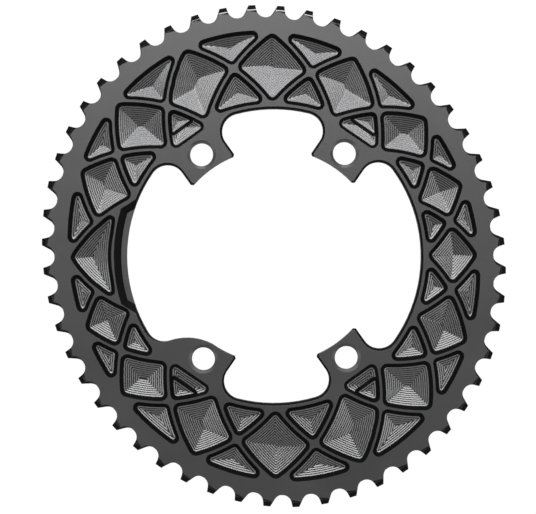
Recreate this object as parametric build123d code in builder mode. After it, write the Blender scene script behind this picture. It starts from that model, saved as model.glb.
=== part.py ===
from build123d import *
import math
import os
from bisect import bisect_left

# Outer chainring of a double chainset: an oval ring with milled pockets and four mounting ears.
# Millimetres. The origin is the centre of the bolt circle on the back face, and +Z is the outboard
# side, the one that shows. Angles run counter-clockwise from +X, seen from the outboard side.

# Toothed outline
tooth_count = 52
chain_pitch = 12.7
oval_difference = 10.6        # major semi-axis less minor semi-axis
oval_direction = 108.0        # direction of the major axis
seat_radius = 4.0             # roller seat between two teeth
seat_runs = 9                 # straight runs that make up a roller seat, to keep its facets few
tip_rise = 1.45               # tooth tip above the pitch line
lead_flank_angle = 13.5       # steep flank, on the clockwise side of a tooth
trail_flank_angle = 31.0      # sloping flank, on the counter-clockwise side

# Plate
plate_thickness = 4.4
tooth_thickness = 2.2
tip_bevel_width = 2.0
tip_bevel_depth = 1.1
back_bevel_width = 0.9
back_bevel_depth = 0.6
flank_bevel_depth = 1.1
flank_bevel_least = 0.4       # at the ends of the major axis
flank_bevel_most = 1.3        # at the ends of the minor axis
back_step_start = 1.5         # full tooth thickness down to here below the roller seats
back_step_width = 2.2         # then the back slopes out to the full plate

# Opening and mounting ears
opening_radius = 65.0
opening_bevel_width = 0.95
opening_bevel_depth = 0.8
notch_share = 0.453           # root fillet beside an ear, as a share of the ear's length
bolt_circle_radius = 55.0
ear_nose = 7.65               # from the bolt circle in to the end of the ears
ear_tip_cut = 1.0
bolt_hole_diameter = 10.2
bolt_rim_width = 1.2
bolt_rim_depth = 0.4
ear_angles = (55.0, 125.0, 235.0, 305.0)
ear_widths = ((11.1, 12.1), (11.85, 11.6), (0.0, 11.7), (10.45, 10.9))  # clockwise side, other side
swell_ear = 2                 # the ear whose clockwise side is a rounded shoulder instead
swell_rise = 6.5              # from the opening's edge out to the centre of the shoulder's curve
swell_lip = 0.15              # how far the shoulder reaches past the end of its ear
swell_centre_angle = 237.0
seat_recess_margin = 5.0      # turned seat for the spider arms, out past the bolt circle
seat_recess_depth = 0.6

# Pocket lattice
rim_band = 6.05               # solid band between the roller seats and the pockets
inner_rim_width = 2.3         # from the opening out to the lattice
strut_width = 1.3
diamond_corner = 3.0
triangle_corner = 2.5
slim_corner = 2.2
wall_inset = 1.2
wall_depth = 1.6
floor_slope = 8.5
pocket_limit = 2.9            # no pocket goes deeper than this
outline_runs = 3              # straight runs that make up each side and each rounded corner
ear_pocket_wall = 8.45        # from the bolt circle out to the pocket above an ear
ledge_share = 0.36            # part of an ear pocket's depth that stays as a shallow ledge
ledge_depth = 0.9
ledge_span = 20.0             # across the ear, where the ledge ends
deep_extra = 0.4              # how much deeper the outer part of an ear pocket is than the others
flat_side_radius = 5000.0     # radius that passes for a straight side
bay_wall = 1.1                # wall between the crank arm relief and the large pocket beside it

# One row for each node of half the lattice, and the other half is the same turned by 180 degrees:
# inner end (angle, rise above the inner rim), crossing (angle, share of the way out to the rim
# band), outer end (angle, drop below the rim band)
lattice_rows = (
    ((-0.3, -1.2), (10.5, 0.521), (-0.2, -0.1)),
    ((20.4, -1.3), (31.0, 0.523), (20.4, -0.3)),
    ((44.1, -2.3), (54.1, 0.452), (41.7, -0.7)),
    ((66.6, -2.5), (78.1, 0.509), (67.4, -0.7)),
    ((90.2, -1.6), (101.7, 0.528), (89.9, -0.4)),
    ((116.1, -2.2), (125.0, 0.437), (112.8, -0.3)),
    ((133.9, -2.3), (146.4, 0.528), (135.3, -0.1)),
    ((156.5, -1.1), (168.9, 0.496), (155.6, -0.1)),
)
ear_pocket_nodes = (2, 5)     # the pocket above an ear lies between this node and the next
bay_node = 8                  # node whose inner end makes room for the crank arm

# Crank arm relief, on the inner rim between the second and the third ear
relief_reach = 5.6            # from the opening out to the relief's far side
relief_start = 162.2
relief_end = 197.1
relief_flare = 6.0            # further turn over which its ends run out to the opening
relief_depth = 2.4
relief_wall_width = 3.1

# Shift pins and ramps, on the back
pin_count = 4
pin_first_gap = 3             # roller seats between the major axis and the first pin
pin_inset = 2.5               # below the roller seats
pin_head_diameter = 3.8
pin_head_height = 1.5
pin_head_bevel = 0.4
pin_stem_diameter = 2.4
pin_stem_length = 1.3
pin_scoop_radius = 2.9        # clearance milled into the back around a pin
ramp_length = 15.0
ramp_width = 9.0
ramp_depth = 0.7

# Worked out from the above
front_z = plate_thickness
web_z = plate_thickness - tooth_thickness
circle_radius = chain_pitch / (2 * math.sin(math.pi / tooth_count))
mean_semi_axis = circle_radius / (1 + (oval_difference / (4 * circle_radius)) ** 2)
wall_draft = math.degrees(math.atan2(wall_inset, wall_depth))
ear_reach = bolt_circle_radius - ear_nose
notch_radius = notch_share * (opening_radius - ear_reach)
swell_centre_radius = opening_radius + swell_rise
swell_radius = swell_centre_radius - ear_reach + swell_lip
inner_rim_radius = opening_radius + inner_rim_width
relief_radius = opening_radius + relief_reach
half_turn = 180.0
cut_over = 3.0                # how far a cutting outline runs past the edge it has to clear


def semi_axes(growth):
    """Semi-axes of the oval at this height above the pitch line."""
    return (mean_semi_axis + oval_difference / 2 + growth, mean_semi_axis - oval_difference / 2 + growth)


def polar(radius, angle):
    return (radius * math.cos(math.radians(angle)), radius * math.sin(math.radians(angle)))


def oval_radius(growth, angle):
    """Distance from the centre to the oval in one direction."""
    major, minor = semi_axes(growth)
    turn = math.radians(angle - oval_direction)
    return major * minor / math.hypot(minor * math.cos(turn), major * math.sin(turn))


def oval_stations(count, first=0.5):
    """Evenly spaced places along the pitch oval, each as (x, y, direction of the outward normal)."""
    major, minor = semi_axes(0)
    fine = 40 * 360
    lengths = [0.0]
    for i in range(fine):
        t = 2 * math.pi * (i + 0.5) / fine
        lengths.append(lengths[-1] + math.hypot(major * math.sin(t), minor * math.cos(t)))
    stations = []
    for k in range(count):
        t = 2 * math.pi * bisect_left(lengths, lengths[-1] * (k + first) / count) / fine
        x, y = major * math.cos(t), minor * math.sin(t)
        turn = math.radians(oval_direction)
        normal = math.degrees(math.atan2(major * math.sin(t), minor * math.cos(t))) + oval_direction
        stations.append((
            x * math.cos(turn) - y * math.sin(turn),
            x * math.sin(turn) + y * math.cos(turn),
            normal,
        ))
    return stations


def disc_outline(growth):
    """The oval at this height above the pitch line, with one straight run across each tooth."""
    sag = chain_pitch**2 / (8 * circle_radius)
    corners = []
    for x, y, normal in oval_stations(tooth_count):
        out_x, out_y = polar(growth + sag, normal)
        corners.append((x + out_x, y + out_y))
    with BuildSketch() as outline:
        with BuildLine():
            Polyline(*corners, close=True)
        make_face()
    return outline.sketch


def tooth_space():
    """The space between two teeth, with the roller at the origin and +X pointing outward."""
    start = half_turn / 2 + lead_flank_angle
    sweep = half_turn - lead_flank_angle - trail_flank_angle
    seat = [polar(seat_radius, start + sweep * i / seat_runs) for i in range(seat_runs + 1)]
    lead_x, lead_y = seat[0]
    trail_x, trail_y = seat[-1]
    reach = tip_rise + cut_over / 2
    lead_end = (reach, lead_y + (reach - lead_x) * math.tan(math.radians(lead_flank_angle)))
    trail_end = (reach, trail_y - (reach - trail_x) * math.tan(math.radians(trail_flank_angle)))
    with BuildSketch() as space:
        with BuildLine():
            Polyline(*seat, trail_end, lead_end, close=True)
        make_face()
    return space.sketch


def flank_bevels():
    """Slanted cuts that bevel the counter-clockwise flank of every tooth on the outboard side."""
    middle = (flank_bevel_least + flank_bevel_most) / 2
    swing = (flank_bevel_most - flank_bevel_least) / 2
    cuts = []
    for x, y, normal in oval_stations(tooth_count):
        width = middle - swing * math.cos(2 * math.radians(math.degrees(math.atan2(y, x)) - oval_direction))
        lean_x, lean_y = polar(width, normal - 90)
        slant = Vector(lean_x, lean_y, flank_bevel_depth)
        place = Location((x, y, front_z - flank_bevel_depth), (0, 0, normal))
        cuts.append(extrude(tooth_space().moved(place), amount=slant.length, dir=slant, mode=Mode.PRIVATE))
    return cuts


def opening_outline(growth):
    """The centre opening with the ears left standing in it, grown outward for its bevel."""
    with BuildSketch() as outline:
        Circle(opening_radius + growth)
        for angle, (before, after) in zip(ear_angles, ear_widths):
            width = before + after
            if before:
                width -= 2 * growth
            else:
                width -= growth
            middle = (after - before) / 2
            if not before:
                middle -= growth / 2
            reach = opening_radius + cut_over
            x, y = polar(reach / 2, angle)
            side_x, side_y = polar(middle, angle + 90)
            with Locations(Location((x + side_x, y + side_y, 0), (0, 0, angle))):
                Rectangle(reach, width, mode=Mode.SUBTRACT)
        add(swell_outline(growth), mode=Mode.SUBTRACT)
        Circle(ear_reach)
        rim = opening_radius + growth
        roots = [v for v in outline.vertices() if abs(math.hypot(v.X, v.Y) - rim) < 0.01]
        fillet(roots, notch_radius + growth)
        tips = [v for v in outline.vertices() if abs(math.hypot(v.X, v.Y) - ear_reach) < 0.01]
        chamfer([v for v in tips if not near_swell(v)], ear_tip_cut)
    return outline.sketch


def swell_outline(growth):
    """The rounded shoulder, ending at the far side of the ear that it belongs to."""
    angle = ear_angles[swell_ear]
    far_side = ear_widths[swell_ear][1] - growth
    with BuildSketch() as outline:
        with Locations(polar(swell_centre_radius, swell_centre_angle)):
            Circle(swell_radius)
        x, y = polar(swell_centre_radius, angle)
        side_x, side_y = polar(far_side, angle + 90)
        with Locations(Location((x + side_x, y + side_y, 0), (0, 0, angle))):
            Rectangle(
                2 * swell_centre_radius, 2 * swell_centre_radius,
                align=(Align.CENTER, Align.MAX), mode=Mode.INTERSECT,
            )
    return outline.sketch


def near_swell(vertex):
    """True where the rounded shoulder runs into the inner end of its ear."""
    x, y = polar(swell_centre_radius, swell_centre_angle)
    return abs(math.hypot(vertex.X - x, vertex.Y - y) - swell_radius) < 0.01


def lattice_node(index):
    """Inner end, crossing and outer end of one lattice node, as points."""
    turns, row = divmod(index % (2 * len(lattice_rows)), len(lattice_rows))
    inner, crossing, outer = lattice_rows[row]
    turn = turns * half_turn
    band = -seat_radius - rim_band
    crossing_out = oval_radius(band, crossing[0] + turn)
    return (
        polar(inner_rim_radius + inner[1], inner[0] + turn),
        polar(inner_rim_radius + crossing[1] * (crossing_out - inner_rim_radius), crossing[0] + turn),
        polar(oval_radius(band, outer[0] + turn) - outer[1], outer[0] + turn),
    )


def circle_through(first, second, third):
    """The circle through three points, as (centre x, centre y, radius)."""
    arc = Edge.make_three_point_arc(first, second, third)
    return (arc.arc_center.X, arc.arc_center.Y, arc.radius)


def rising_strut(index):
    """Centre line circle of the strut from one node's inner end to the next node's outer end."""
    inner, crossing, _ = lattice_node(index)
    return circle_through(inner, crossing, lattice_node(index + 1)[2])


def falling_strut(index):
    """Centre line circle of the strut from one node's outer end to the next node's inner end."""
    _, crossing, outer = lattice_node(index)
    return circle_through(outer, crossing, lattice_node(index + 1)[0])


def beside(circle, point, gap=strut_width / 2):
    """The circle moved by a gap towards the side on which the point lies."""
    x, y, radius = circle
    if math.hypot(point[0] - x, point[1] - y) < radius:
        gap = -gap
    return (x, y, radius + gap)


def meeting_point(first, second, near):
    """Where two circles cross, at the crossing nearest to a point."""
    x, y, radius = first
    across, up = second[0] - x, second[1] - y
    gap = math.hypot(across, up)
    along = (gap**2 + radius**2 - second[2] ** 2) / (2 * gap)
    side = math.sqrt(radius**2 - along**2)
    base_x, base_y = x + along * across / gap, y + along * up / gap
    found = [(base_x - s * up / gap, base_y + s * across / gap) for s in (side, -side)]
    return min(found, key=lambda p: math.dist(p, near))


def middle_of(points):
    return (sum(p[0] for p in points) / len(points), sum(p[1] for p in points) / len(points))


def straight_side(angle, distance):
    """A side at right angles to an ear, drawn as a very large circle."""
    return polar(distance - flat_side_radius, angle) + (flat_side_radius,)


def pocket_corners(sides, nodes):
    """Sharp corners of a pocket, each where one side meets the next, near the node given for it."""
    return [meeting_point(sides[i - 1], sides[i], nodes[i]) for i in range(len(sides))]


def pocket_outline(sides, corners):
    """A pocket's outline with sharp corners, from its sides and the corners between them."""
    with BuildSketch() as outline:
        with BuildLine():
            for i, (x, y, radius) in enumerate(sides):
                start, end = corners[i], corners[(i + 1) % len(corners)]
                middle = middle_of((start, end))
                reach = radius / math.hypot(middle[0] - x, middle[1] - y)
                crown = (x + (middle[0] - x) * reach, y + (middle[1] - y) * reach)
                ThreePointArc(start, crown, end)
        make_face()
    return outline.sketch


def side_plane(start, end, centre, inset, depth, slope):
    """Plane along one side of a pocket, at an inset and a depth, falling away to the middle."""
    along = (Vector(*end) - Vector(*start)).normalized()
    inward = Vector(-along.Y, along.X, 0)
    middle = Vector(*middle_of((start, end)))
    if inward.dot(Vector(*centre) - middle) < 0:
        inward = inward * -1
    lean_x, lean_y = inward.X * math.sin(math.radians(slope)), inward.Y * math.sin(math.radians(slope))
    foot = middle + inward * inset
    return Plane(
        origin=(foot.X, foot.Y, front_z - depth),
        x_dir=along,
        z_dir=Vector(lean_x, lean_y, math.cos(math.radians(slope))),
    )


def floor_plane(start, end, centre, depth):
    return side_plane(start, end, centre, wall_inset, depth, floor_slope)


def rounded_outline(sides, corners, corner_radius):
    """The pocket's outline with rounded corners, drawn in short straight runs to keep its facets few."""
    with BuildSketch() as rounded:
        add(pocket_outline(sides, corners))
        fillet(rounded.vertices(), corner_radius)
    points = []
    for edge in rounded.wire().order_edges():
        points += [edge @ (i / outline_runs) for i in range(outline_runs)]
    with BuildSketch(Plane.XY.offset(front_z)) as mouth:
        with BuildLine():
            Polyline(*[(p.X, p.Y) for p in points], close=True)
        make_face()
    return mouth.sketch


def pocket_cutter(sides, nodes, corner_radius, depth=wall_depth):
    """A drafted pocket whose floor facets all fall at one slope from its sides to the middle."""
    corners = pocket_corners(sides, nodes)
    with BuildPart() as cutter:
        add(rounded_outline(sides, corners, corner_radius))
        extrude(amount=-pocket_limit, taper=wall_draft)
        for i, start in enumerate(corners):
            end = corners[(i + 1) % len(corners)]
            split(bisect_by=floor_plane(start, end, middle_of(corners), depth), keep=Keep.TOP)
    return cutter.part


def diamond_pocket(index):
    """Pocket between the four struts round one node."""
    inner, after, outer = lattice_node(index)
    before = lattice_node(index - 1)[1]
    nodes = (inner, after, outer, before)
    struts = (rising_strut(index), falling_strut(index), rising_strut(index - 1), falling_strut(index - 1))
    sides = [beside(circle, middle_of(nodes)) for circle in struts]
    return pocket_cutter(sides, nodes, diamond_corner)


def outer_pocket(index):
    """Triangle between a crossing and the rim band."""
    _, crossing, outer = lattice_node(index)
    next_outer = lattice_node(index + 1)[2]
    nodes = (crossing, next_outer, outer)
    angles = [math.degrees(math.atan2(y, x)) for x, y in (outer, crossing, next_outer)]
    band = [polar(oval_radius(-seat_radius - rim_band, angle), angle) for angle in angles]
    sides = (
        beside(rising_strut(index), middle_of(nodes)),
        circle_through(*band),
        beside(falling_strut(index), middle_of(nodes)),
    )
    return pocket_cutter(sides, nodes, triangle_corner)


def inner_pocket(index, rim_side, depth=wall_depth):
    """Triangle between a crossing and the inner rim, or another side that stands in for the rim."""
    inner, crossing, _ = lattice_node(index)
    next_inner = lattice_node(index + 1)[0]
    nodes = (crossing, next_inner, inner)
    sides = (
        beside(falling_strut(index), middle_of(nodes)),
        rim_side,
        beside(rising_strut(index), middle_of(nodes)),
    )
    return pocket_cutter(sides, nodes, triangle_corner, depth)


def ear_pocket(index, angle):
    """Two-level pocket above an ear: a shallow ledge along the bolt hole and a deep outer part."""
    near = bolt_circle_radius + ear_pocket_wall
    far = math.hypot(*lattice_node(index)[1])
    step = near + ledge_share * (far - near)
    middle = lattice_node(index)[1]
    half_x, half_y = polar(ledge_span / 2, angle + 90)
    x, y = polar(step, angle)
    ends = ((x - half_x, y - half_y), (x + half_x, y + half_y))
    with BuildPart() as deep:
        add(inner_pocket(index, straight_side(angle, near), wall_depth + deep_extra))
        split(bisect_by=floor_plane(*ends, middle, wall_depth + deep_extra), keep=Keep.TOP)
        split(bisect_by=side_plane(*ends, middle, 0, 0, half_turn / 2 - wall_draft), keep=Keep.TOP)
    return [inner_pocket(index, straight_side(angle, near), ledge_depth), deep.part]


def bay_pocket():
    """Large pocket beside the crank arm relief, between the two struts that meet at its outer end."""
    outer = lattice_node(bay_node)[2]
    radius = relief_radius + bay_wall
    nodes = (outer, polar(radius, relief_end), polar(radius, relief_start))
    middle = middle_of(nodes)
    sides = (beside(falling_strut(bay_node), middle), (0, 0, radius), beside(rising_strut(bay_node - 1), middle))
    return pocket_cutter(sides, nodes, slim_corner)


def pocket_cutters():
    """Cutters for all the pockets. The second half of the lattice is the first half turned round."""
    rows = len(lattice_rows)
    inner_rim = (0, 0, inner_rim_radius)
    cutters = [bay_pocket()]
    for k in range(rows):
        outer_ones = [outer_pocket(k)]
        inner_ones = [inner_pocket(k, inner_rim)]
        if k in ear_pocket_nodes:
            inner_ones = ear_pocket(k, ear_angles[ear_pocket_nodes.index(k)])
        cutters += outer_ones + [cutter.rotate(Axis.Z, half_turn) for cutter in outer_ones]
        if k != bay_node - 1:
            cutters += inner_ones
        if k != bay_node - rows:
            cutters += [cutter.rotate(Axis.Z, half_turn) for cutter in inner_ones]
        diamond = diamond_pocket(k)
        cutters.append(diamond)
        if k != bay_node - rows:
            cutters.append(diamond.rotate(Axis.Z, half_turn))
    return cutters


def relief_outline():
    """The crank arm relief at the front face: an arc with ends that run out to the opening."""
    start_corner = polar(relief_radius, relief_start)
    end_corner = polar(relief_radius, relief_end)
    low = opening_radius - 4 * cut_over
    with BuildSketch() as outline:
        with BuildLine():
            ThreePointArc(start_corner, polar(relief_radius, (relief_start + relief_end) / 2), end_corner)
            Line(end_corner, polar(opening_radius, relief_end + relief_flare))
            Line(polar(opening_radius, relief_end + relief_flare), polar(low, relief_end + relief_flare))
            Line(polar(low, relief_end + relief_flare), polar(low, relief_start - relief_flare))
            Line(polar(low, relief_start - relief_flare), polar(opening_radius, relief_start - relief_flare))
            Line(polar(opening_radius, relief_start - relief_flare), start_corner)
        make_face()
    return outline.sketch


def pin_locations():
    """Where the shift pins sit on the web, evenly shared round the ring, with +X pointing outward."""
    stations = oval_stations(tooth_count, 0.0)
    spacing = tooth_count // pin_count
    places = []
    for i in range(pin_count):
        x, y, normal = stations[(pin_first_gap + i * spacing) % tooth_count]
        in_x, in_y = polar(seat_radius + pin_inset, normal)
        places.append(Location((x - in_x, y - in_y, web_z), (0, 0, normal)))
    return places


def ramp_cutter():
    """A shallow ramp across the back of the teeth, deepest where it meets the shift pin's place."""
    with BuildPart() as cutter:
        with BuildSketch(Plane.YZ.offset(pin_inset - back_step_start)):
            with BuildLine():
                Polyline(
                    (0, -cut_over), (ramp_length, -cut_over), (ramp_length, 0), (0, ramp_depth),
                    close=True,
                )
            make_face()
        extrude(amount=ramp_width)
    return cutter.part


with BuildPart() as chainring:
    # Plate behind the teeth, sloping out to its full thickness
    root = -seat_radius
    with BuildSketch(Plane.XY):
        Ellipse(*semi_axes(root - back_step_start - back_step_width), rotation=oval_direction)
    with BuildSketch(Plane.XY.offset(web_z)):
        Ellipse(*semi_axes(root - back_step_start), rotation=oval_direction)
    loft()
    # Tooth disc, bevelled at its edge on both sides
    with BuildSketch(Plane.XY.offset(web_z)):
        add(disc_outline(tip_rise - back_bevel_width))
    with BuildSketch(Plane.XY.offset(web_z + back_bevel_depth)):
        add(disc_outline(tip_rise))
    loft(ruled=True)
    with BuildSketch(Plane.XY.offset(web_z + back_bevel_depth)):
        add(disc_outline(tip_rise))
    extrude(amount=tooth_thickness - back_bevel_depth - tip_bevel_depth)
    with BuildSketch(Plane.XY.offset(front_z - tip_bevel_depth)):
        add(disc_outline(tip_rise))
    with BuildSketch(Plane.XY.offset(front_z)):
        add(disc_outline(tip_rise - tip_bevel_width))
    loft(ruled=True)
    # Opening with the ears, then its bevel, which fades out at the ends of the ears
    with BuildSketch(Plane.XY):
        add(opening_outline(0))
    extrude(amount=plate_thickness, mode=Mode.SUBTRACT)
    with BuildSketch(Plane.XY.offset(front_z)):
        add(opening_outline(opening_bevel_width))
    opening_bevel_angle = math.degrees(math.atan2(opening_bevel_width, opening_bevel_depth))
    extrude(amount=-opening_bevel_depth, taper=opening_bevel_angle, mode=Mode.SUBTRACT)
    # Bolt holes and the spider's seat on the back of the ears
    with Locations(*[polar(bolt_circle_radius, angle) + (front_z,) for angle in ear_angles]):
        Hole(bolt_hole_diameter / 2, plate_thickness)
    with Locations(*[polar(bolt_circle_radius, angle) + (front_z,) for angle in ear_angles]):
        Cone(
            bolt_hole_diameter / 2, bolt_hole_diameter / 2 + bolt_rim_width, bolt_rim_depth,
            align=(Align.CENTER, Align.CENTER, Align.MAX), mode=Mode.SUBTRACT,
        )
    with BuildSketch(Plane.XY):
        Circle(bolt_circle_radius + seat_recess_margin)
    extrude(amount=seat_recess_depth, mode=Mode.SUBTRACT)
    # Teeth
    with BuildSketch(Plane.XY):
        with Locations(*[Location((x, y, 0), (0, 0, normal)) for x, y, normal in oval_stations(tooth_count)]):
            add(tooth_space())
    extrude(amount=plate_thickness, mode=Mode.SUBTRACT)
    add(flank_bevels(), mode=Mode.SUBTRACT)
    # Pockets
    add(pocket_cutters(), mode=Mode.SUBTRACT)
    # Crank arm relief
    with BuildSketch(Plane.XY.offset(front_z)):
        add(relief_outline())
    relief_angle = math.degrees(math.atan2(relief_wall_width, relief_depth))
    extrude(amount=-relief_depth, taper=relief_angle, mode=Mode.SUBTRACT)
    # Shift ramps, and a scoop with a blind hole for each shift pin
    add([ramp_cutter().moved(place) for place in pin_locations()], mode=Mode.SUBTRACT)
    with Locations(*pin_locations()):
        Cylinder(
            pin_scoop_radius, web_z + cut_over,
            align=(Align.CENTER, Align.CENTER, Align.MAX), mode=Mode.SUBTRACT,
        )
        Cylinder(
            pin_stem_diameter / 2, pin_stem_length,
            align=(Align.CENTER, Align.CENTER, Align.MIN), mode=Mode.SUBTRACT,
        )
chainring.part.label = "chainring"

os.makedirs("parts", exist_ok=True)
export_step(chainring.part, "parts/chainring.step")

for number, place in enumerate(pin_locations(), 1):
    with BuildPart() as pin:
        with Locations(place):
            head = Cylinder(
                pin_head_diameter / 2, pin_head_height, align=(Align.CENTER, Align.CENTER, Align.MAX),
            )
            chamfer(head.edges().group_by(Axis.Z)[0], pin_head_bevel)
            Cylinder(
                pin_stem_diameter / 2, pin_stem_length, align=(Align.CENTER, Align.CENTER, Align.MIN),
            )
    pin.part.label = f"shift_pin_{number}"
    export_step(pin.part, f"parts/shift_pin_{number}.step")
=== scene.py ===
import math

import bpy
import numpy as np
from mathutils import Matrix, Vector
from mathutils.geometry import delaunay_2d_cdt


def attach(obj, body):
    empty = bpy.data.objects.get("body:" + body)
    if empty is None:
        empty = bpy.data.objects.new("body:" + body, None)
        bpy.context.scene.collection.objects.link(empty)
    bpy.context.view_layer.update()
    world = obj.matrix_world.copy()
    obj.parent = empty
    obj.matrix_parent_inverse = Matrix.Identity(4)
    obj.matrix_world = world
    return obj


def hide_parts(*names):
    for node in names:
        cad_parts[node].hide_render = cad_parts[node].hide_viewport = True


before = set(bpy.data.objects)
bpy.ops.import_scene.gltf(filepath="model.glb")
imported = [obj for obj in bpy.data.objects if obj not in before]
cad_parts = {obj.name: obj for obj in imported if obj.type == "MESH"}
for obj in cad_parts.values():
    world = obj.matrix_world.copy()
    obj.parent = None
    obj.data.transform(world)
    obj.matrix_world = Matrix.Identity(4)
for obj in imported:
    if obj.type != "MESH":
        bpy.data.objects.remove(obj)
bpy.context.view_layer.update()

# Millimetres are used while the ring is worked out, metres everywhere else.
MM = 1000.0

# Reading the CAD ring
MERGE_GRID = 0.0005           # CAD vertices this close are one vertex
FRONT_TOLERANCE = 0.002
CORNER_TURN = math.radians(6)             # a pocket's outline turns by more than this at a corner
RUN_PARTS = 12                # parts of the smooth curve to each straight run of the CAD
RIM_SPACING, RIM_LEAST = 0.75, 64         # spacing of a mouth's points, and their least number
DEEP_SPACING, DEEP_LEAST = 0.25, 40       # the same for the deep part above an ear
LINE_STEPS, CORNER_STEPS = 140, 60        # places tried on a line across a pocket or a corner
RISE = 1e-7                   # keeps distances along a line rising, so that they can be looked up
SEARCH_ROUNDS, SEARCH_GRID, SEARCH_ZOOM = 7, 9, 3     # search for a pocket's middle
SHADE_PAINTED_UPRIGHT = (-0.3, 0.9)   # Z of the normal of the ring's faces that get near-black painted shade: edges and bevels
TIP_UPRIGHT = (0.8, 0.9)      # and of the bevel at the tooth tips
SMOOTH_ANGLE = math.radians(18)

# Pocket profile: wall in near-black painted shade, fillet at its foot, then a floor milled in terraces
EDGE_BREAK = 0.12             # tiny bevel round a pocket's mouth
MOUTH_GROWTH = 0.12           # how far the broken edge widens a pocket's mouth
WALL_RUN = 1.38
WALL_DEPTH = 1.60
FOOT_RUN = 0.45               # fillet between the wall and the floor
FOOT_START = 0.10             # depth above the wall's foot where the fillet starts
FOOT_PARTS = 3
FOOT_RINGS = 3                # rings of a pocket, after the first, that still get the wall's near-black painted shade
TERRACE_PITCH = 0.90
TERRACE_TREAD = 0.45
LAST_TERRACE = 0.1            # a rest narrower than this gets no step of its own
FLOOR_SLOPE = math.tan(math.radians(8.5))
TREAD_SLOPE = math.tan(math.radians(14.2))

# Pockets above the ears: a ledge, and a step down to a deep part
EAR_STEPS = ((55.0, 68.2), (125.0, 68.8), (235.0, 68.2), (305.0, 68.8))   # ear's angle, step's radius
EAR_ANGLE, EAR_RADIUS = 6, 73             # the pocket above an ear has its middle within these
LEDGE_DEPTH = 0.9
LEDGE_WALL = ((0.95, -0.10), (1.15, 0.02), (1.32, 0.06), (1.5, 0.08))     # distance in, depth past it
DEEP_DEPTH = 2.0
DEEP_CORNER = 1.8             # corner radius of the deep part
DEEP_LEAST_SLOPE = 0.02
DEEP_MIDDLE_DROP = 0.02

# Edges of the front face
RIDGE_WIDTH, RIDGE_DROP = 0.10, 0.03      # tiny bevel
TIP_WIDTH, TIP_DROP = 0.42, 0.135         # and the wider one where a tooth's tip bevel starts
SHARPEST_MITRE = 0.7          # keeps the bevel narrow at sharp corners

# WALL carries the near-black painted shade of steep walls and bevels, TREAD the lighter painted highlight
# lines of the floor
FACE, WALL, FLOOR, TREAD = 0, 1, 2, 3     # material slots of the ring

# Stage and world, in metres
STAGE_REACH, STAGE_PARTS = 3.0, 8
STAGE_WALL = 0.8
STAGE_DROP = 0.00005          # gap under the part, so that its back and the floor don't mix
STAGE_WHITE, STAGE_SHARE = 1.05, 0.93     # the rest of the floor's look takes the shadow
WORLD_LEVEL = 0.20

# The camera looks straight down, as in the photo, with the object turned by half a degree.
PIXELS = (536, 514)
SCALE = 2.2691                # pixels to a millimetre at the front face
CENTRE = (273.92, 256.115)    # where the bolt circle's centre is in the picture
TURN = math.radians(0.52)
DISTANCE = 0.75               # from the front face
THICKNESS = 0.0044
SENSOR = 36.0


def world_mesh(node):
    """Vertices in millimetres and triangles of a CAD node, with split vertices merged."""
    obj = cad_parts[node]
    mesh = obj.data
    mesh.calc_loop_triangles()
    co = np.array([(obj.matrix_world @ v.co)[:] for v in mesh.vertices]) * MM
    tris = np.array([t.vertices[:] for t in mesh.loop_triangles])
    key = np.round(co / MERGE_GRID).astype(np.int64)
    _, first, back = np.unique(key, axis=0, return_index=True, return_inverse=True)
    co = co[first]
    tris = back.reshape(-1)[tris]
    ok = (tris[:, 0] != tris[:, 1]) & (tris[:, 1] != tris[:, 2]) & (tris[:, 0] != tris[:, 2])
    return co, tris[ok]


def edge_map(tris, chosen):
    """Directed edge to triangle, for the chosen triangles."""
    edges = {}
    for i in chosen:
        a, b, c = tris[i]
        edges[(a, b)] = i
        edges[(b, c)] = i
        edges[(c, a)] = i
    return edges


def boundary_loops(edges):
    """Ordered loops of the directed edges that have no partner."""
    after = {}
    for a, b in edges:
        if (b, a) not in edges:
            after.setdefault(a, []).append(b)
    loops = []
    while after:
        start = next(iter(after))
        loop, here = [start], start
        while True:
            following = after[here].pop()
            if not after[here]:
                del after[here]
            if following == start:
                break
            loop.append(following)
            here = following
        loops.append(loop)
    return loops


def components(tris, edges, chosen):
    """Groups of the chosen triangles that hang together along edges."""
    group = {}
    for seed in chosen:
        if seed in group:
            continue
        group[seed] = seed
        stack = [seed]
        while stack:
            i = stack.pop()
            a, b, c = tris[i]
            for pair in ((b, a), (c, b), (a, c)):
                j = edges.get(pair)
                if j is not None and j not in group:
                    group[j] = seed
                    stack.append(j)
    return group


def turned(direction, angle):
    """A direction turned counter-clockwise by an angle."""
    c, s = math.cos(angle), math.sin(angle)
    return np.array([direction[0] * c - direction[1] * s, direction[0] * s + direction[1] * c])


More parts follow.
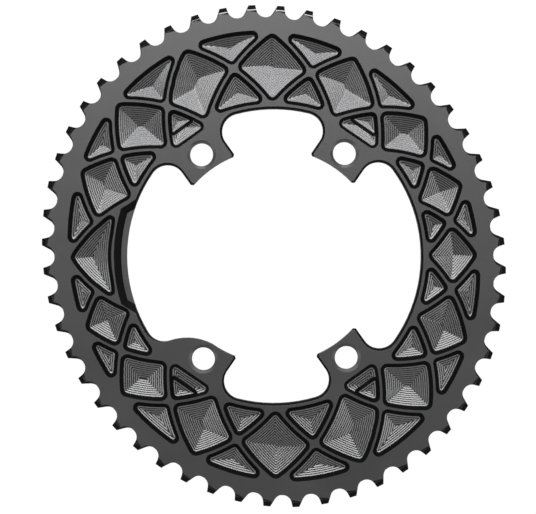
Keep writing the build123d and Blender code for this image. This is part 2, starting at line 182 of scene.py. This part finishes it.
def smooth_rim(points):
    """The pocket's mouth as a fine smooth curve: the CAD draws each side and corner in a few runs."""
    n = len(points)
    run = np.roll(points, -1, axis=0) - points
    length = np.hypot(run[:, 0], run[:, 1])
    heading = run / length[:, None]
    before = np.roll(heading, 1, axis=0)
    turn = np.arctan2(
        before[:, 0] * heading[:, 1] - before[:, 1] * heading[:, 0],
        (before * heading).sum(axis=1),
    )
    bent = turn > CORNER_TURN
    start = next(i for i in range(n) if not bent[i])
    leaving, arriving = [None] * n, [None] * n
    i = 0
    while i < n:
        a = (start + i) % n
        if not bent[a]:
            i += 1
            continue
        corner = []
        while bent[(start + i) % n]:
            corner.append((start + i) % n)
            i += 1
        inner = turn[corner[1:-1]].mean() if len(corner) > 2 else turn[corner].mean()
        for j, k in enumerate(corner[:-1]):
            leaving[k] = turned(heading[k], -inner / 2)
            arriving[corner[j + 1]] = turned(heading[k], inner / 2)
    for k in range(n):
        if leaving[k] is None and arriving[k] is None:
            mean = before[k] * length[k] + heading[k] * length[k - 1]
            leaving[k] = arriving[k] = mean / np.hypot(*mean)
        elif leaving[k] is None:
            leaving[k] = arriving[k]
        elif arriving[k] is None:
            arriving[k] = leaving[k]
    fine = []
    for k in range(n):
        p, q = points[k], points[(k + 1) % n]
        m, w = leaving[k] * length[k], arriving[(k + 1) % n] * length[k]
        for t in np.linspace(0, 1, RUN_PARTS, endpoint=False):
            fine.append(
                (2 * t**3 - 3 * t**2 + 1) * p + (t**3 - 2 * t**2 + t) * m
                + (3 * t**2 - 2 * t**3) * q + (t**3 - t**2) * w
            )
    return np.array(fine)


def evenly(points, spacing, least):
    """The closed curve again, in evenly spaced points."""
    closed = np.vstack([points, points[:1]])
    along = np.concatenate([[0], np.cumsum(np.hypot(*np.diff(closed, axis=0).T))])
    count = max(least, int(round(along[-1] / spacing)))
    at = np.arange(count) * along[-1] / count
    return np.column_stack([np.interp(at, along, closed[:, 0]), np.interp(at, along, closed[:, 1])])


def distance_in(points, outline):
    """How far each point is from a closed outline."""
    a = outline
    d = np.roll(outline, -1, axis=0) - a
    rel = points[:, None, :] - a[None, :, :]
    t = np.clip((rel * d).sum(axis=2) / (d * d).sum(axis=1), 0, 1)
    gap = rel - t[:, :, None] * d[None, :, :]
    return np.sqrt((gap**2).sum(axis=2).min(axis=1))


def is_inside(points, outline):
    """Whether each point lies inside a closed outline."""
    x, y = points[:, 0][:, None], points[:, 1][:, None]
    ax, ay = outline[:, 0][None, :], outline[:, 1][None, :]
    bx, by = np.roll(ax, -1, axis=1), np.roll(ay, -1, axis=1)
    crosses = (ay > y) != (by > y)
    with np.errstate(divide="ignore", invalid="ignore"):
        at = ax + (y - ay) * (bx - ax) / (by - ay)
    return (crosses & (x < at)).sum(axis=1) % 2 == 1


def deepest_point(outline):
    """Centre of the largest circle that fits in the outline, and its radius."""
    low, high = outline.min(axis=0), outline.max(axis=0)
    centre, step = (low + high) / 2, (high - low) / 2
    shares = np.linspace(-1, 1, SEARCH_GRID)
    for _ in range(SEARCH_ROUNDS):
        grid = np.array([centre + step * (u, v) for u in shares for v in shares])
        depth = distance_in(grid, outline) * np.where(is_inside(grid, outline), 1, -1)
        centre = grid[depth.argmax()]
        step = step / SEARCH_ZOOM
    return centre, depth.max()


def floor_profile(reach, wall_depth):
    """Rings of a pocket as (distance in from the mouth, depth), down to the middle."""
    depth = wall_depth - FOOT_START
    rings = [(EDGE_BREAK, EDGE_BREAK), (WALL_RUN, depth)]
    steep = (depth - EDGE_BREAK) / (WALL_RUN - EDGE_BREAK)
    for i in range(1, FOOT_PARTS + 1):
        share = i / FOOT_PARTS
        depth += FOOT_RUN / FOOT_PARTS * (steep * (1 - share) ** 2 + FLOOR_SLOPE * share / 2)
        rings.append((WALL_RUN + FOOT_RUN * share, depth))
    at = WALL_RUN + FOOT_RUN
    while at + TERRACE_PITCH < reach - LAST_TERRACE:
        rings.append((at + TERRACE_TREAD, depth + TERRACE_TREAD * TREAD_SLOPE))
        at += TERRACE_PITCH
        depth += TERRACE_PITCH * FLOOR_SLOPE
        rings.append((at, depth))
    rest = (reach - at) / 2
    if rest > LAST_TERRACE:
        rings.append((at + rest, depth + rest * TREAD_SLOPE))
    return rings


def spread(outline, gap):
    """The outline moved outward by a gap. It runs counter-clockwise."""
    run = np.roll(outline, -1, axis=0) - np.roll(outline, 1, axis=0)
    run /= np.hypot(run[:, 0], run[:, 1])[:, None]
    return outline + gap * np.column_stack([run[:, 1], -run[:, 0]])


def depth_along(start, end, outline, count):
    """Distance from an outline at even steps from each start, which is on it, to its end."""
    steps = np.linspace(0, 1, count)
    lines = start[:, None, :] + steps[None, :, None] * (end - start)[:, None, :]
    depth = distance_in(lines.reshape(-1, 2), outline).reshape(len(start), count)
    return np.maximum.accumulate(depth, axis=1)


def points_at(gap, start, end, depth):
    """The point on each line from start to end where its depth_along reaches a gap."""
    steps = np.linspace(0, 1, depth.shape[1])
    rising = depth + np.arange(len(steps)) * RISE
    t = np.array([np.interp(gap, row, steps) for row in rising])
    return start + t[:, None] * (end - start)


def ring_points(rim, middle, gaps):
    """Rings of points on the lines from a rim to its middle, one at each gap from the rim."""
    depth = depth_along(rim, middle, rim, LINE_STEPS)
    return [points_at(gap, rim, middle, depth) for gap in gaps]


def rounded(outline, centre, radius):
    """The outline with its corners rounded, point by point on the lines to its centre."""
    inset = ring_points(outline, centre, [radius])[0]
    return points_at(radius, inset, outline, depth_along(inset, outline, inset, CORNER_STEPS))


class Builder:
    """Collects vertices in millimetres, and faces with a material number."""

    def __init__(self):
        self.points, self.faces, self.kinds, self.sharp = [], [], [], set()

    def add(self, ring, z):
        """New vertices at the points of a ring, all at one height or each at its own."""
        first = len(self.points)
        heights = np.broadcast_to(z, (len(ring),))
        self.points += [(p[0], p[1], h) for p, h in zip(ring, heights)]
        return list(range(first, first + len(ring)))

    def strip(self, outer, inner, kind, crisp=False):
        """Faces between two rings, with a crisp edge along the inner one where asked."""
        n = len(outer)
        for i in range(n):
            j = (i + 1) % n
            self.faces.append((outer[i], outer[j], inner[j], inner[i]))
            self.kinds.append(kind)
            if crisp:
                self.sharp.add(frozenset((inner[i], inner[j])))

    def fan(self, ring, centre, kind):
        """Faces between a ring and one vertex."""
        n = len(ring)
        for i in range(n):
            self.faces.append((ring[i], ring[(i + 1) % n], centre))
            self.kinds.append(kind)


def pocket_kind(number):
    """The wall and its foot first, in near-black painted shade, then in turn a matter tread painted lighter
    as a highlight line and a glossy flat.
    """
    if number <= FOOT_RINGS:
        return WALL
    return TREAD if number > FOOT_RINGS + 1 and number % 2 else FLOOR


def sink(build, top, rings, heights):
    """Strips from ring to ring down a pocket. Returns the last ring's vertices."""
    last = top
    for number, (points, z) in enumerate(zip(rings, heights)):
        ring = build.add(points, z)
        build.strip(last, ring, pocket_kind(number), number > FOOT_RINGS and number % 2 == 0)
        last = ring
    return last


def plain_pocket(build, rim, top, front):
    """A pocket with one floor, from its mouth down to its middle."""
    centre, reach = deepest_point(rim)
    gaps, depths = zip(*floor_profile(reach, WALL_DEPTH))
    last = sink(build, top, ring_points(rim, centre, gaps), [front - depth for depth in depths])
    middle = build.add([centre], front - depths[-1] - (reach - gaps[-1]) * FLOOR_SLOPE)[0]
    build.fan(last, middle, FLOOR)


def clipped(rim, direction, distance):
    """The part of an outline beyond a line at right angles to a direction, with rounded corners."""
    height = rim @ direction - distance
    kept = []
    for i in range(len(rim)):
        j = (i + 1) % len(rim)
        if height[i] >= 0:
            kept.append(rim[i])
        if (height[i] >= 0) != (height[j] >= 0):
            t = height[i] / (height[i] - height[j])
            kept.append(rim[i] + t * (rim[j] - rim[i]))
    return evenly(np.array(kept), DEEP_SPACING, DEEP_LEAST)


def ledge_pocket(build, rim, top, front, direction, distance):
    """A pocket above an ear: a ledge along the bolt hole, then a step down to a deeper floor."""
    deep = clipped(rim, direction, distance)
    centre, reach = deepest_point(deep)
    span = rim - centre
    length = np.hypot(*span.T)
    unit = span / length[:, None]
    # Where each line from the middle to the mouth leaves the deep part
    toward = unit @ direction
    limit = np.where(toward < -1e-6, (distance - centre @ direction) / np.minimum(toward, -1e-6), 1e9)
    edge = rounded(centre + unit * np.minimum(limit, length)[:, None], centre, DEEP_CORNER)
    gaps = [EDGE_BREAK] + [gap for gap, _ in LEDGE_WALL]
    depths = [EDGE_BREAK] + [LEDGE_DEPTH + more for _, more in LEDGE_WALL]
    edge_gap = depth_along(rim, edge, rim, LINE_STEPS)[:, -1]
    while gaps[-1] < edge_gap.max():
        gaps += [gaps[-1] + TERRACE_TREAD, gaps[-1] + TERRACE_PITCH]
        depths += [depths[-1] + TERRACE_TREAD * TREAD_SLOPE, depths[-1] + TERRACE_PITCH * FLOOR_SLOPE]
    depth_at = [np.interp(np.minimum(gap, edge_gap), [0] + gaps, [0] + depths) for gap in gaps]
    last = sink(build, top, ring_points(rim, edge, gaps), [front - depth for depth in depth_at])
    edge_depth = np.interp(edge_gap, [0] + gaps, [0] + depths)
    gaps, depths = zip(*floor_profile(reach, DEEP_DEPTH))
    depth_at = [
        np.maximum(depth, edge_depth + gap * DEEP_LEAST_SLOPE) for gap, depth in zip(gaps, depths)
    ]
    last = sink(build, last, ring_points(edge, centre, gaps), [front - depth for depth in depth_at])
    middle = build.add([centre], front - depths[-1] - DEEP_MIDDLE_DROP)[0]
    build.fan(last, middle, FLOOR)


def front_face(build, loops):
    """The flat front face between its outline and everything that opens in it."""
    order = [v for loop in loops for v in loop]
    flat = [Vector(build.points[v][:2]) for v in order]
    edges, at = [], 0
    for loop in loops:
        edges += [(at + i, at + (i + 1) % len(loop)) for i in range(len(loop))]
        at += len(loop)
    out_verts, _, out_faces, came_from, _, _ = delaunay_2d_cdt(flat, edges, [], 0, 1e-6)
    place = [order[c[0]] if c else None for c in came_from]
    middle = np.array([np.mean([out_verts[v][:] for v in f], axis=0) for f in out_faces])
    crossings = np.zeros(len(middle), dtype=int)
    for loop in loops:
        crossings += is_inside(middle, np.array([build.points[v][:2] for v in loop])).astype(int)
    for face, count in zip(out_faces, crossings):
        if count % 2 == 0 or any(place[v] is None for v in face):
            continue
        a, b, c = (np.array(out_verts[v][:]) for v in face)
        up = (b[0] - a[0]) * (c[1] - a[1]) - (b[1] - a[1]) * (c[0] - a[0])
        corners = [place[v] for v in face]
        build.faces.append(tuple(corners if up > 0 else corners[::-1]))
        build.kinds.append(FACE)


def ridge(build, loop, front, tip_edges):
    """A narrow tilted strip along one edge of the front face. Returns the strip's inner side."""
    at = np.array([build.points[v][:2] for v in loop])
    run = np.roll(at, -1, axis=0) - at
    heading = run / np.hypot(run[:, 0], run[:, 1])[:, None]
    side = np.column_stack([-heading[:, 1], heading[:, 0]])
    before = np.roll(side, 1, axis=0)
    mean = side + before
    shift = RIDGE_WIDTH * mean / np.maximum((mean**2).sum(axis=1) / 2, SHARPEST_MITRE)[:, None]
    drop = np.full(len(loop), RIDGE_DROP)
    for i, is_tip in enumerate(tip_edges):
        if is_tip:
            for k in (i, (i + 1) % len(loop)):
                shift[k] = TIP_WIDTH * side[i]
                drop[k] = TIP_DROP
    for v, low in zip(loop, drop):
        build.points[v] = (*build.points[v][:2], front - low)
    ring = build.add(at + shift, front)
    first = len(build.kinds)
    build.strip(loop, ring, FACE, True)
    for i, v in enumerate(loop):
        if tip_edges[i]:
            j = (i + 1) % len(loop)
            build.kinds[first + i] = FLOOR
            corners = ((v, loop[j]), (v, ring[i]), (loop[j], ring[j]))
            build.sharp |= {frozenset(pair) for pair in corners}
    return ring


def dressed_ring():
    """The chainring with its pockets milled in terraces, on the CAD's own outlines."""
    co, tris = world_mesh("chainring")
    front = co[:, 2].max()
    on_front = co[:, 2] > front - FRONT_TOLERANCE
    flat = on_front[tris].all(axis=1)
    front_edges = edge_map(tris, np.flatnonzero(flat))
    other = [int(i) for i in np.flatnonzero(~flat)]
    edges = edge_map(tris, other)
    group = components(tris, edges, other)
    names, sizes = np.unique(list(group.values()), return_counts=True)
    body = names[sizes.argmax()]
    build = Builder()
    build.points = [tuple(p) for p in co]
    a, b, c = (co[tris[:, k]] for k in range(3))
    normal = np.cross(b - a, c - a)
    upright = normal[:, 2] / np.linalg.norm(normal, axis=1)
    for i in other:
        if group[i] == body:
            build.faces.append(tuple(int(v) for v in tris[i]))
            # Steep faces and bevels get the near-black painted shade, the rest the face's own colour
            build.kinds.append(WALL if SHADE_PAINTED_UPRIGHT[0] < upright[i] < SHADE_PAINTED_UPRIGHT[1] else FACE)
    loops = []
    for loop in boundary_loops(front_edges):
        owner = group.get(edges.get((loop[1], loop[0])))
        if owner == body:
            ends = loop[1:] + loop[:1]
            facing = [upright[edges[(end, start)]] for start, end in zip(loop, ends)]
            is_tip = [TIP_UPRIGHT[0] < up < TIP_UPRIGHT[1] for up in facing]
            loops.append(ridge(build, [int(v) for v in loop], front, is_tip))
            continue
        corners = co[loop][::-1, :2]
        rim = spread(evenly(smooth_rim(corners), RIM_SPACING, RIM_LEAST), MOUTH_GROWTH)
        top = build.add(rim, front)
        middle = rim.mean(axis=0)
        angle = math.degrees(math.atan2(middle[1], middle[0])) % 360
        radius = np.hypot(*middle)
        ear = [e for e in EAR_STEPS if abs(e[0] - angle) < EAR_ANGLE and radius < EAR_RADIUS]
        if ear:
            toward, step = math.radians(ear[0][0]), ear[0][1]
            direction = np.array([math.cos(toward), math.sin(toward)])
            ledge_pocket(build, rim, top, front, direction, step)
        else:
            plain_pocket(build, rim, top, front)
        loops.append(top)
    front_face(build, loops)
    return build


def mesh_object(name, build):
    """An object of what a builder holds, without the vertices that no face uses."""
    used = sorted({v for face in build.faces for v in face})
    new = {v: i for i, v in enumerate(used)}
    corners = [[c / MM for c in build.points[v]] for v in used]
    faces = [[new[v] for v in face] for face in build.faces]
    mesh = bpy.data.meshes.new(name)
    mesh.from_pydata(corners, [], faces)
    mesh.polygons.foreach_set("material_index", build.kinds)
    mesh.polygons.foreach_set("use_smooth", [True] * len(faces))
    mesh.update()
    mesh.set_sharp_from_angle(angle=SMOOTH_ANGLE)
    sharp = {frozenset(new[v] for v in pair) for pair in build.sharp}
    for edge in mesh.edges:
        if frozenset(edge.vertices) in sharp:
            edge.use_edge_sharp = True
    obj = bpy.data.objects.new(name, mesh)
    bpy.context.scene.collection.objects.link(obj)
    return obj


ring = mesh_object("milled_chainring", dressed_ring())
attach(ring, "root")
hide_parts("chainring")


def new_material(name, colour, metallic, roughness):
    """A material with its node tree and its shader."""
    material = bpy.data.materials.new(name)
    material.use_nodes = True
    tree = material.node_tree
    shader = tree.nodes["Principled BSDF"]
    shader.inputs["Base Color"].default_value = (*colour, 1)
    shader.inputs["Metallic"].default_value = metallic
    shader.inputs["Roughness"].default_value = roughness
    return material, tree, shader


def node(tree, kind, **inputs):
    """A new node with some of its inputs set."""
    made = tree.nodes.new(kind)
    for name, value in inputs.items():
        made.inputs[name.replace("_", " ")].default_value = value
    return made


def metal(name, dark, light, rough_low, rough_high, metallic, grain, specular=0.5):
    """A finished metal: a fine matt grain in colour and gloss, and a faint cloudiness."""
    material, tree, shader = new_material(name, dark, metallic, rough_low)
    shader.inputs["Specular IOR Level"].default_value = specular
    link = tree.links.new
    where = tree.nodes.new("ShaderNodeTexCoord")
    fine = node(tree, "ShaderNodeTexNoise", Scale=6000.0, Detail=3.0, Roughness=0.6)
    cloud = node(tree, "ShaderNodeTexNoise", Scale=38.0, Detail=3.0, Roughness=0.5)
    for noise in (fine, cloud):
        link(where.outputs["Object"], noise.inputs["Vector"])
    mixed = node(tree, "ShaderNodeMix")
    mixed.data_type = "FLOAT"
    mixed.inputs[0].default_value = 0.45
    link(fine.outputs["Fac"], mixed.inputs[2])
    link(cloud.outputs["Fac"], mixed.inputs[3])
    tint = tree.nodes.new("ShaderNodeValToRGB")
    tint.color_ramp.elements[0].position = 0.35
    tint.color_ramp.elements[0].color = (*dark, 1)
    tint.color_ramp.elements[1].position = 0.65
    tint.color_ramp.elements[1].color = (*light, 1)
    link(mixed.outputs[0], tint.inputs["Fac"])
    link(tint.outputs["Color"], shader.inputs["Base Color"])
    gloss = node(
        tree, "ShaderNodeMapRange", From_Min=0.3, From_Max=0.7, To_Min=rough_low, To_Max=rough_high
    )
    link(mixed.outputs[0], gloss.inputs["Value"])
    link(gloss.outputs["Result"], shader.inputs["Roughness"])
    bump = node(tree, "ShaderNodeBump", Strength=grain, Distance=0.00003)
    link(fine.outputs["Fac"], bump.inputs["Height"])
    link(bump.outputs["Normal"], shader.inputs["Normal"])
    return material


face_metal = metal("anodised_face", (0.031, 0.031, 0.032), (0.044, 0.044, 0.045), 0.30, 0.35, 0.0, 0.12, 0.7)
# Walls and bevels are the same anodised metal as the face: their near-black colour is painted shade, the
# dark surroundings they reflect
wall_painted_shade_metal = metal("anodised_wall_painted_shade", (0.002, 0.002, 0.002), (0.004, 0.004, 0.004), 0.5, 0.6, 0.0, 0.2, 0.12)
floor_metal = metal("milled_floor", (0.062, 0.062, 0.064), (0.088, 0.088, 0.090), 0.15, 0.20, 0.9, 0.1)
# Treads are the same milled metal as the flats: their matter gloss is a finish, their lighter colour is
# painted highlight lines
tread_metal_painted_highlight = metal("milled_tread_painted_highlight", (0.155, 0.155, 0.157), (0.205, 0.205, 0.207), 0.25, 0.30, 0.7, 0.1)
for material in (face_metal, wall_painted_shade_metal, floor_metal, tread_metal_painted_highlight):
    ring.data.materials.append(material)
pin_metal = metal("pin_steel", (0.42, 0.42, 0.43), (0.55, 0.55, 0.56), 0.25, 0.35, 1.0, 0.1)
for name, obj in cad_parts.items():
    if name != "chainring":
        obj.data.materials.clear()
        obj.data.materials.append(pin_metal)


def arithmetic(tree, operation, first, second):
    """The result of a sum on two sockets, or on a socket and a number."""
    made = tree.nodes.new("ShaderNodeMath")
    made.operation = operation
    tree.links.new(first, made.inputs[0])
    if isinstance(second, float):
        made.inputs[1].default_value = second
    else:
        tree.links.new(second, made.inputs[1])
    return made.outputs[0]


def white_backdrop():
    """A matt white that shows as plain white, with a little of its shading left for the shadow."""
    material, tree, shader = new_material("white_floor", (0.9, 0.9, 0.9), 0.0, 0.8)
    link = tree.links.new
    rays = tree.nodes.new("ShaderNodeLightPath").outputs
    shown = arithmetic(tree, "MAXIMUM", rays["Is Camera Ray"], rays["Is Glossy Ray"])
    shown = arithmetic(tree, "MAXIMUM", shown, rays["Is Transmission Ray"])
    white = node(tree, "ShaderNodeEmission", Color=(1, 1, 1, 1), Strength=STAGE_WHITE)
    both = tree.nodes.new("ShaderNodeMixShader")
    link(arithmetic(tree, "MULTIPLY", shown, STAGE_SHARE), both.inputs[0])
    link(shader.outputs[0], both.inputs[1])
    link(white.outputs[0], both.inputs[2])
    # Seen from below, the floor lets the object's back show
    side = tree.nodes.new("ShaderNodeNewGeometry")
    clear = tree.nodes.new("ShaderNodeBsdfTransparent")
    either = tree.nodes.new("ShaderNodeMixShader")
    link(side.outputs["Backfacing"], either.inputs[0])
    link(both.outputs[0], either.inputs[1])
    link(clear.outputs[0], either.inputs[2])
    link(either.outputs[0], tree.nodes["Material Output"].inputs["Surface"])
    return material


def plain_floor():
    """A square floor with a low wall round it."""
    row = STAGE_PARTS + 1
    across = [STAGE_REACH * (2 * i / STAGE_PARTS - 1) for i in range(row)]
    corners = [(x, y, -STAGE_DROP) for y in across for x in across]
    faces = [
        (j * row + i, j * row + i + 1, (j + 1) * row + i + 1, (j + 1) * row + i)
        for j in range(STAGE_PARTS) for i in range(STAGE_PARTS)
    ]
    edge = (0, STAGE_PARTS, row * row - 1, row * STAGE_PARTS)
    top = len(corners)
    corners += [(*corners[v][:2], STAGE_WALL) for v in edge]
    for k in range(4):
        after = (k + 1) % 4
        faces.append((edge[k], top + k, top + after, edge[after]))
    mesh = bpy.data.meshes.new("floor")
    mesh.from_pydata(corners, [], faces)
    mesh.materials.append(white_backdrop())
    floor = bpy.data.objects.new("floor", mesh)
    bpy.context.scene.collection.objects.link(floor)


def studio():
    """A plain, even world."""
    world = bpy.data.worlds.new("studio")
    bpy.context.scene.world = world
    world.use_nodes = True
    background = world.node_tree.nodes["Background"]
    background.inputs["Color"].default_value = (1, 1, 1, 1)
    background.inputs["Strength"].default_value = WORLD_LEVEL


def area_light(name, place, width, height, power):
    """A soft panel that faces the part."""
    light = bpy.data.lights.new(name, "AREA")
    light.shape = "RECTANGLE"
    light.size, light.size_y, light.energy = width, height, power
    obj = bpy.data.objects.new(name, light)
    bpy.context.scene.collection.objects.link(obj)
    obj.location = place
    obj.rotation_euler = (-Vector(place)).to_track_quat("-Z", "Y").to_euler()


def photo_camera():
    """The photograph's camera."""
    off_x = (PIXELS[0] / 2 - CENTRE[0]) / SCALE / MM
    off_y = -(PIXELS[1] / 2 - CENTRE[1]) / SCALE / MM
    camera = bpy.data.cameras.new("camera")
    camera.sensor_width = SENSOR
    camera.lens = SENSOR * DISTANCE / (PIXELS[0] / SCALE / MM)
    view = bpy.data.objects.new("camera", camera)
    bpy.context.scene.collection.objects.link(view)
    view.location = (
        off_x * math.cos(TURN) + off_y * math.sin(TURN),
        -off_x * math.sin(TURN) + off_y * math.cos(TURN),
        DISTANCE + THICKNESS,
    )
    view.rotation_euler = (0, 0, -TURN)
    bpy.context.scene.camera = view


plain_floor()
studio()
area_light("key_from_the_top", (0.0, 0.71, 2.4), 2.0, 0.6, 22.5)
area_light("rim_from_the_top", (0.0, 1.7, 1.7), 1.0, 0.35, 16.0)
area_light("panel_on_the_left", (-1.3, -0.55, 2.3), 0.9, 0.8, 7.0)
area_light("panel_on_the_right", (1.3, -0.55, 2.3), 0.9, 0.8, 7.0)
area_light("fill_from_below", (0.0, -1.25, 2.0), 1.2, 0.5, 1.6)
photo_camera()
bpy.context.scene.view_settings.view_transform = "Standard"
